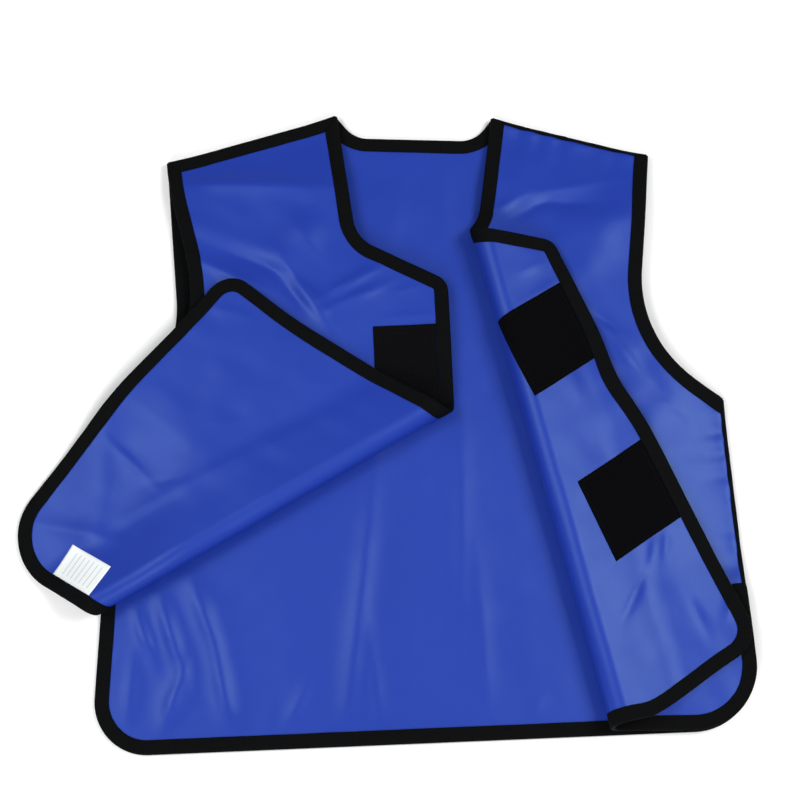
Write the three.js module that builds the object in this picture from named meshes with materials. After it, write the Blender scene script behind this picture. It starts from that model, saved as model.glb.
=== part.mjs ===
import * as THREE from 'three';

// An x-ray lead vest lying on its back with both fronts folded open.
// Millimetres, Z up, the floor at Z = 0, the neck towards +Y, the wearer's left side towards +X.
// Patterns are drawn in own-side lengths: u runs outward from the centre line, v towards the neck.

const { clamp, lerp, smoothstep, degToRad } = THREE.MathUtils;
const at = (u, v) => new THREE.Vector2(u, v);

// Sizes of the flat patterns: neck point to hem, half the hem and the back's neck
const LENGTH = 606;
const HALF = 305;
const HEM = -290;
const BACK_NECK_DEPTH = 22;
const BACK_NECK_INSET = 17;

// Corners of each side: across as a share of HALF, up as a share of LENGTH above the hem, round in mm
const CORNERS = {
  right: {
    neck: { across: 0.239, up: 1.003 },
    neckBend: { across: 0.187, up: 0.792, round: 38 },
    neckEdge: { across: -0.098, up: 0.718, round: 16 },
    hemEdge: { across: -0.12, up: 0.046, round: 28 },
    frontHem: { across: 0.972, up: -0.014, round: 56 },
    hem: { across: 1.013, up: -0.002, round: 48 },
    armpit: { across: 0.944, up: 0.515 },
    armhole: { across: 0.741, up: 0.612, round: 120 },
    tip: { across: 0.78, up: 0.931 },
  },
  left: {
    neck: { across: 0.266, up: 0.992 },
    neckBend: { across: 0.21, up: 0.812, round: 38 },
    neckEdge: { across: -0.079, up: 0.716, round: 16 },
    hemEdge: { across: -0.033, up: 0.018, round: 28 },
    frontHem: { across: 0.993, up: 0.01, round: 58 },
    hem: { across: 0.993, up: 0.01, round: 58 },
    armpit: { across: 0.944, up: 0.515 },
    armhole: { across: 0.685, up: 0.612, round: 120 },
    tip: { across: 0.757, up: 0.921 },
  },
};

// Cloth: the leaded panels, the folded edge tape, the patches and the play between pieces that touch
const PANEL = 2.0;
const TAPE = 1.0;
const GAP = 0.3;
const BAND = 12.5;
const PATCH = 1.6;
const LABEL = 1.0;
const PATCH_WIDTH = 76;
const PATCH_HEIGHT = 81;
const LOOP_WIDTH = 60;
const LABEL_WIDTH = 33;
const LABEL_HEIGHT = 47;
const INNER = PANEL / 2 + GAP;
const OUTER = INNER + TAPE;
const EDGE = GAP + TAPE;

// How the vest lies: heights are of the middle of the cloth
const BACK_LOW = PANEL / 2;
const BACK_EDGE = OUTER;
const BACK_EDGE_REACH = 34;
const SEAM_LEVEL = BACK_EDGE + PANEL + GAP;
const BULGE = 9;
const BULGE_REACH = 80;
const SEAM_CORE = 36;
const FOLD_SAG = 5;
const FOLD_SAG_REACH = 45;
const OVERHANG = 56;
const OVERHANG_START = 4;

// A fold is a round roll, a slope back down to the cloth below and a wide curve that levels it out
const ROLL_SLOPE = degToRad(20);
const ROLL_EASE = 60;
const FLAP_RISE = 6;

// Facets: the longest stretch and the largest turn of an edge or of a fold
const SPAN = 32;
const BACK_SPAN = 46;
const EDGE_TURN = degToRad(18);
const FOLD_TURN = degToRad(25);

// The two fronts: the side of the centre line, the length of the slit in the side seam above the hem,
// how far the armhole's edge is drawn in by the bulge, how much of the seam tape shows on the front,
// and the fold, by the radius of its roll and the two ends of its outermost line, as shares like the corners
const FRONTS = {
  right: {
    side: -1, slit: 157, pull: 15, seam: BAND,
    fold: { radius: 12, from: { across: -0.1115, up: 0.5107 }, to: { across: 0.9508, up: 0.2178 } },
  },
  left: {
    side: 1, slit: 132, pull: 0, seam: 3.5,
    fold: { radius: 13, from: { across: 0.1869, up: 0.7838 }, to: { across: 0.5344, up: 0.0248 } },
  },
};

// Soft ridges of the laid fronts: middle, as shares like the corners, direction in degrees,
// half length and half width as shares of HALF, height as a share of BULGE
const RIDGES = {
  right: [
    { across: 0.393, up: 0.792, turn: -38, long: 0.197, wide: 0.072, high: 0.33 },
    { across: 0.197, up: 0.677, turn: -30, long: 0.18, wide: 0.079, high: 0.22 },
  ],
  left: [
    { across: 0.623, up: 0.825, turn: 20, long: 0.18, wide: 0.079, high: 0.33 },
    { across: 0.705, up: 0.38, turn: 75, long: 0.23, wide: 0.085, high: 0.22 },
  ],
};

// Colours and finish
const BLUE = { color: 0x2b4bb0, roughness: 0.42, metalness: 0 };
const BLACK = { color: 0x141616, roughness: 0.8, metalness: 0 };
const HOOK = { color: 0x0c0c10, roughness: 0.9, metalness: 0 };
const WHITE = { color: 0xeaf2f2, roughness: 0.6, metalness: 0 };

/** A point of the pattern from its shares. */
const shareAt = ({ across, up }) => at(across * HALF, HEM + up * LENGTH);

/** The corners of one side in own-side lengths; those with a round are curves, the others joints. */
function sideCorners(name) {
  const corner = {};
  for (const [joint, share] of Object.entries(CORNERS[name])) {
    corner[joint] = { name: joint, p: shareAt(share), round: share.round };
  }
  const { armpit, hem } = corner;
  const share = FRONTS[name].slit / (armpit.p.y - hem.p.y);
  corner.vent = { name: 'vent', p: hem.p.clone().lerp(armpit.p, share) };
  return corner;
}

/** The rolled shape of a fold: how far and how high the cloth has gone a length s past its start. */
function foldOf({ from, to, radius }) {
  const d = shareAt(to).sub(shareAt(from)).normalize();
  const n = at(d.y, -d.x);
  const start = shareAt(from).addScaledVector(n, -radius - PANEL / 2);
  const back = Math.PI + ROLL_SLOPE;
  const drop = radius * (1 + Math.cos(ROLL_SLOPE)) - ROLL_EASE * (1 - Math.cos(ROLL_SLOPE)) - FLAP_RISE;
  const slope = drop / Math.sin(ROLL_SLOPE);
  const rolled = radius * back;
  const turn = (s) => clamp(s / radius, 0, back)
    + clamp((s - rolled - slope) / ROLL_EASE, 0, ROLL_SLOPE);
  const profile = (s) => {
    const a = clamp(s / radius, 0, back);
    const along = clamp(s - rolled, 0, slope);
    const b = clamp((s - rolled - slope) / ROLL_EASE, 0, ROLL_SLOPE);
    const flat = Math.max(s - rolled - slope - ROLL_EASE * ROLL_SLOPE, 0);
    const ease = ROLL_EASE * (Math.sin(ROLL_SLOPE - b) - Math.sin(ROLL_SLOPE));
    const settle = ROLL_EASE * (Math.cos(ROLL_SLOPE - b) - Math.cos(ROLL_SLOPE));
    return {
      reach: Math.min(s, 0) + radius * Math.sin(a) - along * Math.cos(ROLL_SLOPE) + ease - flat,
      lift: radius * (1 - Math.cos(a)) - along * Math.sin(ROLL_SLOPE) - settle,
    };
  };
  return { start, d, n, turn, profile };
}

/** Distance from a point to the stretch between a and b, shortened at both ends by trim. */
function away(p, a, b, trim = 0) {
  const d = b.clone().sub(a);
  const length = d.length();
  const t = clamp(p.clone().sub(a).dot(d) / length, trim, length - trim);
  return p.distanceTo(a.clone().addScaledVector(d, t / length));
}

/** The laid shape of a front: own-side pattern lengths to a point of the middle of the cloth. */
function frontShape(name) {
  const front = FRONTS[name];
  const corner = sideCorners(name);
  const fold = foldOf(front.fold);
  const [foldFrom, foldTo] = [shareAt(front.fold.from), shareAt(front.fold.to)];
  const floor = OUTER + 0.2 - FLAP_RISE;

  const under = (p) => {
    const [from, to] = [corner.armpit.p, corner.hem.p];
    const side = lerp(from.x, to.x, (from.y - p.y) / (from.y - to.y));
    const inside = at(Math.min(p.x, side), p.y);
    const seam = Math.min(
      away(inside, corner.neck.p, corner.tip.p, SEAM_CORE),
      away(inside, corner.armpit.p, corner.vent.p, SEAM_CORE),
    );
    const fromFold = away(inside, foldFrom, foldTo) / FOLD_SAG_REACH;
    const loose = smoothstep(seam, SEAM_CORE, SEAM_CORE + BULGE_REACH);
    const level = SEAM_LEVEL + BULGE * smoothstep(seam, 0, BULGE_REACH)
      + loose * (ridges(RIDGES[name], inside) - FOLD_SAG * Math.exp(-fromFold * fromFold));
    return lerp(level, floor, smoothstep(p.x - side, OVERHANG_START, OVERHANG_START + OVERHANG));
  };

  const armhole = (p) => {
    const share = clamp((p.y - corner.armpit.p.y) / (corner.tip.p.y - corner.armpit.p.y), 0, 1);
    return front.pull * Math.sin(Math.PI * share) ** 2 * smoothstep(p.x, 90, 210);
  };

  const lay = (p) => {
    const q = p.clone().sub(fold.start);
    const { reach, lift } = fold.profile(q.dot(fold.n));
    const plan = fold.start.clone().addScaledVector(fold.d, q.dot(fold.d)).addScaledVector(fold.n, reach);
    const z = under(plan) + lift;
    return new THREE.Vector3(front.side * (plan.x - armhole(plan)), plan.y, z);
  };
  return { lay, up: front.side, fold };
}

/** Height of the soft ridges at a point. */
function ridges(table, p) {
  return table.reduce((sum, ridge) => {
    const d = p.clone().sub(shareAt(ridge)).rotateAround(at(0, 0), -degToRad(ridge.turn));
    const far = (d.x / (ridge.long * HALF)) ** 2 + (d.y / (ridge.wide * HALF)) ** 2;
    return sum + ridge.high * BULGE * Math.exp(-far);
  }, 0);
}

/** The laid shape of the back: flat on the floor, its edge raised by the tape below it. */
function backShape(stations) {
  const outline = stations.map((station) => station.p);
  const lay = (p) => {
    const near = Math.min(...outline.map((c, i) => away(p, c, outline[(i + 1) % outline.length])));
    const raised = 1 - smoothstep(near, BAND, BAND + BACK_EDGE_REACH);
    return new THREE.Vector3(p.x, p.y, lerp(BACK_LOW, BACK_EDGE, raised));
  };
  return { lay, up: 1, fold: null };
}

/** A point of the cloth, moved off its middle by w along its outward side. */
function lift(shape, p, w) {
  const h = 0.05;
  const du = shape.lay(at(p.x + h, p.y)).sub(shape.lay(at(p.x - h, p.y)));
  const dv = shape.lay(at(p.x, p.y + h)).sub(shape.lay(at(p.x, p.y - h)));
  return shape.lay(p).addScaledVector(du.cross(dv).normalize(), w * shape.up);
}

/** How far the round of a corner reaches along its two edges. */
function roundReach(before, { p, round }, after) {
  return round * Math.tan(p.clone().sub(before).angleTo(after.clone().sub(p)) / 2);
}

/** Points about every millimetre from one corner to the next joint, with the outward direction. */
function trace(corners) {
  const line = [];
  const straight = (a, b) => {
    const d = b.clone().sub(a);
    const n = at(d.y, -d.x).normalize();
    const count = Math.max(1, Math.round(d.length()));
    for (let i = 0; i <= count; i++) line.push({ p: a.clone().lerp(b, i / count), n });
  };
  let from = corners[0].p;
  corners.slice(1, -1).forEach(({ p, round }, i) => {
    const into = p.clone().sub(corners[i].p).normalize();
    const out = corners[i + 2].p.clone().sub(p).normalize();
    const turn = Math.atan2(into.cross(out), into.dot(out));
    const reach = roundReach(corners[i].p, corners[i + 1], corners[i + 2].p);
    const begin = p.clone().addScaledVector(into, -reach);
    straight(from, begin);
    const centre = begin.clone().addScaledVector(at(-into.y, into.x), round * Math.sign(turn));
    const count = Math.ceil(Math.abs(turn) * round);
    for (let k = 1; k < count; k++) {
      const n = at(into.y, -into.x).rotateAround(at(0, 0), (turn * k) / count);
      line.push({ p: begin.clone().rotateAround(centre, (turn * k) / count), n });
    }
    from = p.clone().addScaledVector(out, reach);
  });
  straight(from, corners.at(-1).p);
  return line;
}

/** Stations of an outline: p on its edge and q inside it by the width of the edge tape. */
function outlineOf(corners, fold) {
  const cost = (a, b) => {
    const turned = (m) => fold.turn(m.clone().sub(fold.start).dot(fold.n));
    const folded = (x, y) => (fold ? Math.abs(turned(y) - turned(x)) / FOLD_TURN : 0);
    const inner = (s) => s.p.clone().addScaledVector(s.n, -BAND);
    const bend = Math.max(folded(a.p, b.p), folded(inner(a), inner(b)));
    return a.p.distanceTo(b.p) / SPAN + a.n.angleTo(b.n) / EDGE_TURN + bend;
  };
  const joints = corners.map((c, i) => i).filter((i) => !corners[i].round);
  const runs = joints.map((from, k) => {
    const to = joints[(k + 1) % joints.length] + (k + 1 === joints.length ? corners.length : 0);
    return trace(Array.from({ length: to - from + 1 }, (_, i) => corners[(from + i) % corners.length]));
  });
  const stations = [];
  runs.forEach((line, k) => {
    const before = runs.at(k - 1).at(-1).n;
    const mitre = before.clone().add(line[0].n).multiplyScalar(-BAND / (1 + before.dot(line[0].n)));
    stations.push({ p: line[0].p, q: line[0].p.clone().add(mitre), name: corners[joints[k]].name });
    const sums = [0];
    for (let i = 1; i < line.length; i++) sums.push(sums[i - 1] + cost(line[i - 1], line[i]));
    const count = Math.ceil(sums.at(-1));
    for (let i = 1; i < count; i++) {
      const { p, n } = line[sums.findIndex((sum) => sum >= (sums.at(-1) * i) / count)];
      stations.push({ p, q: p.clone().addScaledVector(n, -BAND) });
    }
  });
  return stations;
}

/** The stations from one named joint to another. */
function run(stations, from, to) {
  const first = stations.findIndex((s) => s.name === from);
  const round = [...stations.slice(first), ...stations.slice(0, first), stations[first]];
  return round.slice(0, round.findIndex((s, i) => i > 0 && s.name === to) + 1);
}

/** Triangles between scattered points, each with no other point inside its circle. */
function delaunay(points) {
  const far = 1e5;
  const all = [...points, at(-far, -far), at(far, -far), at(0, far)];
  const circle = (a, b, c) => {
    const [p, q] = [all[b].clone().sub(all[a]), all[c].clone().sub(all[a])];
    const k = 0.5 / p.cross(q);
    const centre = at(q.y * p.lengthSq() - p.y * q.lengthSq(), p.x * q.lengthSq() - q.x * p.lengthSq());
    const r = centre.multiplyScalar(k).length();
    return { ids: [a, b, c], centre: centre.add(all[a]), r };
  };
  let found = [circle(points.length, points.length + 1, points.length + 2)];
  points.forEach((p, i) => {
    const rim = new Map();
    found = found.filter(({ ids, centre, r }) => {
      if (p.distanceTo(centre) > r * (1 - 1e-9)) return true;
      ids.forEach((a, k) => {
        const b = ids[(k + 1) % 3];
        if (!rim.delete(`${b} ${a}`)) rim.set(`${a} ${b}`, [a, b]);
      });
      return false;
    });
    rim.forEach(([a, b]) => found.push(circle(a, b, i)));
  });
  return found.map((t) => t.ids).filter((ids) => Math.max(...ids) < points.length);
}

/** Turns the diagonals that cross the given edges, until the triangles have all of those edges. */
function withEdges(triangles, flat, edges) {
  const side = (a, b, c) => flat[b].clone().sub(flat[a]).cross(flat[c].clone().sub(flat[a]));
  const crossed = (a, b, c, d) => side(a, b, c) * side(a, b, d) < 0 && side(c, d, a) * side(c, d, b) < 0;
  const all = triangles.slice();
  const turnOne = (a, b) => all.some((ids, i) => ids.some((c, k) => {
    const [d, e] = [ids[(k + 1) % 3], ids[(k + 2) % 3]];
    if (!crossed(a, b, c, d)) return false;
    const j = all.findIndex((t) => t.some((x, m) => x === d && t[(m + 1) % 3] === c));
    const f = all[j]?.find((x) => x !== c && x !== d);
    if (f === undefined || !crossed(e, f, c, d)) return false;
    all[i] = [c, f, e];
    all[j] = [f, d, e];
    return true;
  }));
  edges.forEach(([a, b]) => {
    let turns = 0;
    while (turns < edges.length && turnOne(a, b)) turns += 1;
  });
  return all;
}

/** Whether a point is inside a closed line of points. */
function within(p, ring) {
  return ring.reduce((inside, a, i) => {
    const b = ring[(i + 1) % ring.length];
    const crossed = (a.y > p.y) !== (b.y > p.y) && p.x < a.x + ((b.x - a.x) * (p.y - a.y)) / (b.y - a.y);
    return crossed ? !inside : inside;
  }, false);
}

/** Nodes of a patch: rows from the inner edge of the tape, across the width, closer where cloth rolls. */
function patchNodes(rows, width, skew, fold) {
  const turned = (m) => fold.turn(m.clone().sub(fold.start).dot(fold.n)) / FOLD_TURN;
  const walks = rows.map(({ p, q }) => {
    const d = q.clone().sub(p).normalize();
    d.add(at(d.y, -d.x).multiplyScalar(Math.tan(skew)));
    const steps = Array.from({ length: Math.round(width) + 1 }, (_, i) => q.clone().addScaledVector(d, i));
    return { steps, sums: steps.map((m, i) => i / SPAN + Math.abs(turned(m) - turned(steps[0]))) };
  });
  const count = Math.ceil(Math.max(2, ...walks.map((walk) => walk.sums.at(-1))));
  return walks.map(({ steps, sums }) => Array.from({ length: count + 1 }, (_, k) => (
    steps[sums.findIndex((sum) => sum >= (sums.at(-1) * k) / count - 1e-9)])));
}

/** A way to spread the flat cloth so that its rolled parts get closer nodes, and the way back. */
function spreading(fold, span) {
  if (!fold) return { spread: (p) => p, gather: (p) => p };
  const far = (s) => s + (span * fold.turn(s)) / FOLD_TURN;
  const spread = (p) => {
    const q = p.clone().sub(fold.start);
    return at(q.dot(fold.d), far(q.dot(fold.n)));
  };
  const gather = (p) => {
    let [low, high] = [p.y - 1000, p.y];
    for (let i = 0; i < 40; i++) {
      const middle = (low + high) / 2;
      if (far(middle) > p.y) high = middle;
      else low = middle;
    }
    return fold.start.clone().addScaledVector(fold.d, p.x).addScaledVector(fold.n, low);
  };
  return { spread, gather };
}

/** The flat mesh of a panel: its outline, the line inside its tape, a lattice and the grids of patches. */
function meshOf(stations, fold, span, patches = []) {
  const { spread, gather } = spreading(fold, span);
  const nodes = stations.map((s) => s.q);
  const grids = patches.map(({ rows, width, skew }) => (
    patchNodes(rows, width, degToRad(skew), fold).map((row, r) => row.map((p, k) => (
      k === 0 ? stations.indexOf(rows[r]) : nodes.push(p) - 1)))));
  const rims = grids.map((rows) => [
    ...rows[0], ...rows.slice(1, -1).map((row) => row.at(-1)),
    ...rows.at(-1).slice().reverse(), ...rows.slice(1, -1).map((row) => row[0]).reverse()]);
  const ring = stations.map((s) => spread(s.q));
  const holes = rims.map((rim) => rim.map((id) => spread(nodes[id])));
  const sides = [ring, ...holes].flatMap((line) => line.map((a, i) => [a, line[(i + 1) % line.length]]));

  const box = new THREE.Box2().setFromPoints(ring);
  const pitch = span * Math.sqrt(0.75);
  const fixed = [...new Set([...stations.keys(), ...rims.flat()])];
  const free = [];
  for (let j = 0; box.min.y + j * pitch < box.max.y; j++) {
    for (let i = -1; box.min.x + i * span < box.max.x; i++) {
      const p = at(box.min.x + (i + (j % 2) / 2) * span, box.min.y + j * pitch);
      const clear = sides.every(([a, b]) => away(p, a, b) > 0.45 * span
        && p.distanceTo(a.clone().lerp(b, 0.5)) > 0.51 * a.distanceTo(b));
      if (clear && within(p, ring) && !holes.some((line) => within(p, line))) {
        free.push(nodes.push(gather(p)) - 1);
      }
    }
  }

  const used = [...fixed, ...free];
  const flat = used.map((id) => spread(nodes[id]));
  const middle = ([a, b, c]) => flat[a].clone().add(flat[b]).add(flat[c]).divideScalar(3);
  const order = fold && fold.d.cross(fold.n) < 0 ? [0, 2, 1] : [0, 1, 2];
  const place = new Map(used.map((id, i) => [id, i]));
  const edges = [[...stations.keys()], ...rims].flatMap((line) => line.map((id, i) => (
    [place.get(id), place.get(line[(i + 1) % line.length])])));
  const field = withEdges(delaunay(flat), flat, edges)
    .filter((t) => within(middle(t), ring) && !holes.some((line) => within(middle(t), line)))
    .map((t) => order.map((k) => used[t[k]]));

  const quad = (a, b, c, d) => [[a, b, c], [a, c, d]];
  const turned = ([a, b, c]) => (
    nodes[b].clone().sub(nodes[a]).cross(nodes[c].clone().sub(nodes[a])) > 0 ? [a, b, c] : [a, c, b]);
  const parts = grids.map((rows) => rows.slice(1).flatMap((row, r) => row.slice(1).flatMap((_, k) => (
    quad(rows[r][k], rows[r][k + 1], row[k + 1], row[k])))).map(turned));
  const edge = nodes.length;
  const count = stations.length;
  const strip = stations.flatMap((_, i) => quad(edge + i, edge + ((i + 1) % count), (i + 1) % count, i));
  const points = [...nodes, ...stations.map((s) => s.p)];
  return { points, triangles: [...field, ...parts.flat(), ...strip], parts };
}

/** A closed mesh from corner points and triangles, turned so that its faces look outward. */
function solid(name, look, points, triangles) {
  const volume = triangles.reduce((sum, [a, b, c]) => (
    sum + points[a].dot(points[b].clone().cross(points[c]))), 0);
  const faces = volume > 0 ? triangles : triangles.map(([a, b, c]) => [a, c, b]);
  const geometry = new THREE.BufferGeometry();
  geometry.setAttribute('position', new THREE.Float32BufferAttribute(
    points.flatMap((p) => [p.x, p.y, p.z]), 3));
  geometry.setIndex(faces.flat());
  const creased = geometry.toNonIndexed();
  creased.computeVertexNormals();
  const mesh = new THREE.Mesh(creased, new THREE.MeshStandardMaterial(look));
  mesh.name = name;
  return mesh;
}

/** A sheet of cloth between two distances from the middle of the laid shape. */
function sheet(name, look, shape, points, triangles, low, high) {
  const used = [...new Set(triangles.flat())];
  const place = new Map(used.map((id, i) => [id, i]));
  const faces = triangles.map((t) => t.map((id) => place.get(id)));
  const count = used.length;
  const rim = new Map();
  faces.forEach((t) => t.forEach((a, k) => {
    const b = t[(k + 1) % 3];
    if (!rim.delete(`${b} ${a}`)) rim.set(`${a} ${b}`, [a, b]);
  }));
  const walls = [...rim.values()].flatMap(([a, b]) => [[a, a + count, b], [b, a + count, b + count]]);
  const below = faces.map(([a, b, c]) => [a + count, c + count, b + count]);
  const corners = [high, low].flatMap((w) => used.map((id) => lift(shape, points[id], w)));
  return solid(name, look, corners, [...faces, ...below, ...walls]);
}

/** A channel of tape along stations, folded over one cloth or two; width is that of its upper leg. */
function tape(name, look, stations, upper, lower, width = BAND) {
  const slide = (s, next, by) => {
    const d = next.p.clone().sub(s.p).setLength(by);
    return { p: s.p.clone().add(d), q: s.q.clone().add(d), below: s.below.clone().add(d) };
  };
  const all = stations.map((s) => ({ ...s, below: s.below ?? s.q }));
  all[0] = slide(all[0], all[1], GAP / 2);
  all[all.length - 1] = slide(all.at(-1), all.at(-2), GAP / 2);
  const corners = all.flatMap(({ p, q, below }) => {
    const top = (m, w) => lift(upper, p.clone().lerp(q, m / BAND), w);
    const bottom = (m, w) => lift(lower, p.clone().lerp(below, m / BAND), w);
    const [end, foot] = [width - GAP, BAND - GAP];
    return [
      top(end, OUTER), top(-EDGE, OUTER), bottom(-EDGE, -OUTER), bottom(foot, -OUTER),
      bottom(foot, -INNER), bottom(-GAP, -INNER), top(-GAP, INNER), top(end, INNER),
    ];
  });
  const walls = all.slice(1).flatMap((_, i) => Array.from({ length: 8 }, (_, k) => {
    const [a, b] = [8 * i + k, 8 * i + ((k + 1) % 8)];
    return k % 4 === 0
      ? [[a, b, a + 8], [b, b + 8, a + 8]]
      : [[a, b, b + 8], [a, b + 8, a + 8]];
  }).flat());
  const last = 8 * (all.length - 1);
  const cap = [[0, 1, 6, 7], [1, 2, 5, 6], [2, 3, 4, 5]].flatMap(([a, b, c, d]) => [[a, c, b], [a, d, c]]);
  const ends = [...cap, ...cap.map(([a, b, c]) => [a + last, c + last, b + last])];
  return solid(name, look, corners, [...walls, ...ends]);
}

/** Corners of the back, from the wearer's left neck point round by the right side. */
function backCorners() {
  const joints = ['neck', 'tip', 'armhole', 'armpit', 'vent', 'hem'];
  const [right, left] = ['right', 'left'].map((name) => {
    const corner = sideCorners(name);
    const { side } = FRONTS[name];
    return joints.map((joint) => (
      { ...corner[joint], p: at(side * corner[joint].p.x, corner[joint].p.y), name: `${name} ${joint}` }));
  });
  const bend = ({ p }) => (
    { p: at(p.x - Math.sign(p.x) * BACK_NECK_INSET, p.y - BACK_NECK_DEPTH), round: 30 });
  return [bend(left[0]), bend(right[0]), ...right, ...left.reverse()];
}

/** Corners of a front in own-side lengths, from the neck point round by the opening. */
function frontCorners(name) {
  const corner = sideCorners(name);
  const { hemEdge, frontHem, vent } = corner;
  const round = frontHem.p.y + roundReach(hemEdge.p, frontHem, vent.p);
  const topOf = ({ up, above, height }) => (above ? round + above + height : HEM + up * LENGTH);
  const stops = (edge, a, b) => PATCHES.filter((patch) => patch.front === name && patch.edge === edge)
    .flatMap((patch) => ['top', 'middle', 'foot'].map((stop, i) => (
      [topOf(patch) - (patch.height * i) / 2, `${patch.label} ${stop}`])))
    .map(([v, joint]) => ({ name: joint, p: a.clone().lerp(b, (v - a.y) / (b.y - a.y)) }))
    .sort((x, y) => (x.p.y - y.p.y) * (b.y - a.y));
  const opening = stops('opening', corner.neckEdge.p, corner.hemEdge.p);
  const slit = stops('vent', corner.frontHem.p, corner.vent.p);
  return [
    corner.neck, corner.neckBend, corner.neckEdge, ...opening, hemEdge,
    frontHem, ...slit, vent, corner.armpit, corner.armhole, corner.tip,
  ];
}

// Patches sewn beside the edge tape: hooks inside the left front, loops outside the right, a care label.
// Up is the top's share of LENGTH above the hem, or above the foot's distance past the corner's round;
// skew is the turn of the patch against the edge in degrees.
const PATCHES = [
  {
    label: 'upper_hook_patch', front: 'left', edge: 'opening', face: -1, look: HOOK,
    up: 0.65, height: PATCH_HEIGHT, width: PATCH_WIDTH, skew: 7, thick: PATCH,
  },
  {
    label: 'lower_hook_patch', front: 'left', edge: 'opening', face: -1, look: HOOK,
    up: 0.371, height: PATCH_HEIGHT, width: PATCH_WIDTH, skew: 8, thick: PATCH,
  },
  {
    label: 'loop_patch', front: 'right', edge: 'opening', face: 1, look: HOOK,
    up: 0.649, height: PATCH_HEIGHT, width: LOOP_WIDTH, skew: 0, thick: PATCH,
  },
  {
    label: 'care_label', front: 'right', edge: 'vent', face: -1, look: WHITE,
    above: 2, height: LABEL_HEIGHT, width: LABEL_WIDTH, skew: 0, thick: LABEL,
  },
];

const vest = new THREE.Group();
vest.name = 'xray_lead_vest';

const backEdge = outlineOf(backCorners(), null);
const back = backShape(backEdge);
const backMesh = meshOf(backEdge, null, BACK_SPAN);
vest.add(sheet('back_panel', BLUE, back, backMesh.points, backMesh.triangles, -PANEL / 2, PANEL / 2));
vest.add(tape('back_neck_binding', BLACK, run(backEdge, 'left neck', 'right neck'), back, back));
vest.add(tape('back_hem_binding', BLACK, run(backEdge, 'right vent', 'left vent'), back, back));
vest.add(tape('right_back_armhole_binding', BLACK, run(backEdge, 'right tip', 'right armpit'), back, back));
vest.add(tape('left_back_armhole_binding', BLACK, run(backEdge, 'left armpit', 'left tip'), back, back));

for (const name of Object.keys(FRONTS)) {
  const shape = frontShape(name);
  const edge = outlineOf(frontCorners(name), shape.fold);
  const patches = PATCHES.filter((patch) => patch.front === name).map((patch) => {
    const ends = [`${patch.label} top`, `${patch.label} foot`];
    const [from, to] = patch.edge === 'opening' ? ends : ends.reverse();
    return { ...patch, rows: run(edge, from, to) };
  });
  const { points, triangles, parts } = meshOf(edge, shape.fold, SPAN, patches);
  vest.add(sheet(`${name}_front_panel`, BLUE, shape, points, triangles, -PANEL / 2, PANEL / 2));
  vest.add(tape(`${name}_front_edge_binding`, BLACK, run(edge, 'neck', 'vent'), shape, shape));
  vest.add(tape(`${name}_front_armhole_binding`, BLACK, run(edge, 'armpit', 'tip'), shape, shape));

  const own = (p) => at(shape.up * p.x, p.y);
  const below = { lay: (p) => back.lay(own(p)), up: shape.up };
  const seam = (from, to) => run(edge, from, to).map((station) => {
    const twin = backEdge.find((s) => own(s.p).distanceTo(station.p) < 0.01);
    return twin ? { ...station, below: own(twin.q) } : station;
  });
  const width = FRONTS[name].seam;
  vest.add(tape(`${name}_shoulder_tape`, BLACK, seam('tip', 'neck'), shape, below, width));
  vest.add(tape(`${name}_side_tape`, BLACK, seam('vent', 'armpit'), shape, below, width));

  patches.forEach(({ label, look, face, thick }, k) => {
    const [near, far] = [INNER, INNER + thick].map((w) => w * face);
    vest.add(sheet(label, look, shape, points, parts[k], Math.min(near, far), Math.max(near, far)));
  });
}

export default vest;
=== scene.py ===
import math

import bpy
import numpy as np
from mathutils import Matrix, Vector, geometry


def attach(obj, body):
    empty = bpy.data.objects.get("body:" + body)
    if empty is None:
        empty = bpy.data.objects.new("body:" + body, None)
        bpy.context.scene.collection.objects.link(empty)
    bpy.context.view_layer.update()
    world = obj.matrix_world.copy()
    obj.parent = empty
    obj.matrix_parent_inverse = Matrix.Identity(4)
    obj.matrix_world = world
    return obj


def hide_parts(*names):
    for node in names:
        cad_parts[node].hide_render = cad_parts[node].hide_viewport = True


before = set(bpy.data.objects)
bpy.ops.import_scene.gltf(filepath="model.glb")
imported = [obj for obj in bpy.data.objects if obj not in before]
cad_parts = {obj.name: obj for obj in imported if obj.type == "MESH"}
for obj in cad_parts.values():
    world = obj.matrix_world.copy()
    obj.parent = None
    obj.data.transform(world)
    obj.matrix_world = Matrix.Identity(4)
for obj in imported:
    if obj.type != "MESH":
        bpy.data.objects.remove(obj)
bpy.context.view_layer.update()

# An x-ray lead vest lying on its back, both fronts folded open.
# Patterns are in millimetres on each front's own side: u outward from the centre line, v to the neck.

MM = 0.001

# Sizes, the same as the part's
LENGTH = 606
HALF = 305
HEM = -290
BACK_NECK_DEPTH = 22
BACK_NECK_INSET = 17
PANEL = 2.0
TAPE = 1.0
GAP = 0.3
BAND = 12.5
PATCH_WIDTH = 76
PATCH_HEIGHT = 81
LOOP_WIDTH = 60
LABEL_WIDTH = 33
LABEL_HEIGHT = 47
INNER = PANEL / 2 + GAP
OUTER = INNER + TAPE
BACK_LOW = PANEL / 2
BACK_EDGE = OUTER
BACK_EDGE_REACH = 34
SEAM_LEVEL = BACK_EDGE + PANEL + GAP
BULGE = 9
BULGE_REACH = 80
SEAM_CORE = 36
FOLD_SAG = 5
FOLD_SAG_REACH = 45
OVERHANG = 56
OVERHANG_START = 4
ROLL_SLOPE = math.radians(20)
ROLL_EASE = 60
FLAP_RISE = 6

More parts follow.
